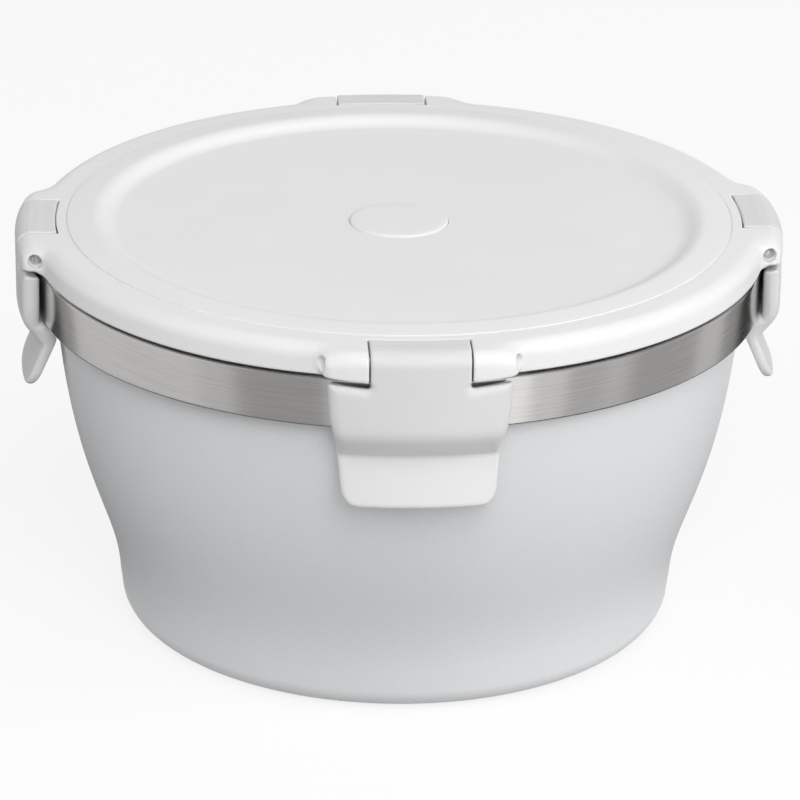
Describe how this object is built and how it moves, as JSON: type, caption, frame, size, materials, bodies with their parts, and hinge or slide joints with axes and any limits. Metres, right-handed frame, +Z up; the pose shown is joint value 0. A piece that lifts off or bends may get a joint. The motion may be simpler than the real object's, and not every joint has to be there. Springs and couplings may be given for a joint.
{
  "type": "insulated bowl with lid",
  "caption": "Round insulated steel bowl with a dished moulded lid held down by hinged latches that hook under a brushed rim band.",
  "frame": {"origin": "centre of the base, on the plane that the bowl stands on", "axes": "+Z up along the bowl's axis, the front latch at -Y, the right latch at +X"},
  "size_m": [0.169, 0.169, 0.0921],
  "materials": {
    "shell_paint": "light grey powder coat, very fine texture",
    "brushed_steel": "brushed round the bowl",
    "foil": "bright foil",
    "getter_metal": "sintered, dull",
    "seal_metal": "dull solder bead",
    "lid_plastic": "satin moulded, warm white",
    "latch_plastic": "satin moulded, warm white",
    "foam": "closed-cell foam",
    "silicone": "translucent grey silicone",
    "pin_steel": "bright drawn wire"
  },
  "bodies": {
    "bowl": {"outer_shell": "shell_paint", "base_plate": "brushed_steel", "inner_bowl": "brushed_steel", "rim_band": "brushed_steel", "heat_foil": "foil", "getter": "getter_metal", "vacuum_seal_plug": "seal_metal"},
    "lid": {"lid_frame": "lid_plastic", "lid_panel": "lid_plastic", "centre_disc": "lid_plastic", "lid_inner_plate": "lid_plastic", "lid_insulation": "foam", "lid_gasket": "silicone", "pin_front": "pin_steel", "pin_right": "pin_steel", "pin_back": "pin_steel", "pin_left": "pin_steel"},
    "catch_front": {"latch_front": "latch_plastic"},
    "catch_right": {"latch_right": "latch_plastic"},
    "catch_back": {"latch_back": "latch_plastic"},
    "catch_left": {"latch_left": "latch_plastic"}
  },
  "joints": [
    {"name": "lid_lift", "type": "slide", "parent": "bowl", "child": "lid", "axis": [0, 0, 1], "range_m": [0, 0.012]},
    {"name": "latch_open_front", "type": "hinge", "parent": "lid", "child": "catch_front", "pos_m": [0, -0.07965, 0.08845], "axis": [-1, 0, 0], "range_deg": [0, 151]},
    {"name": "latch_open_right", "type": "hinge", "parent": "lid", "child": "catch_right", "pos_m": [0.07965, 0, 0.08845], "axis": [0, -1, 0], "range_deg": [0, 151]},
    {"name": "latch_open_back", "type": "hinge", "parent": "lid", "child": "catch_back", "pos_m": [0, 0.07965, 0.08845], "axis": [1, 0, 0], "range_deg": [0, 151]},
    {"name": "latch_open_left", "type": "hinge", "parent": "lid", "child": "catch_left", "pos_m": [-0.07965, 0, 0.08845], "axis": [0, 1, 0], "range_deg": [0, 151]}
  ],
  "couplings": [
    {"joint": "latch_open_front", "follows": "lid_lift", "rad_per_m": 218.17},
    {"joint": "latch_open_right", "follows": "lid_lift", "rad_per_m": 218.17},
    {"joint": "latch_open_back", "follows": "lid_lift", "rad_per_m": 218.17},
    {"joint": "latch_open_left", "follows": "lid_lift", "rad_per_m": 218.17}
  ]
}
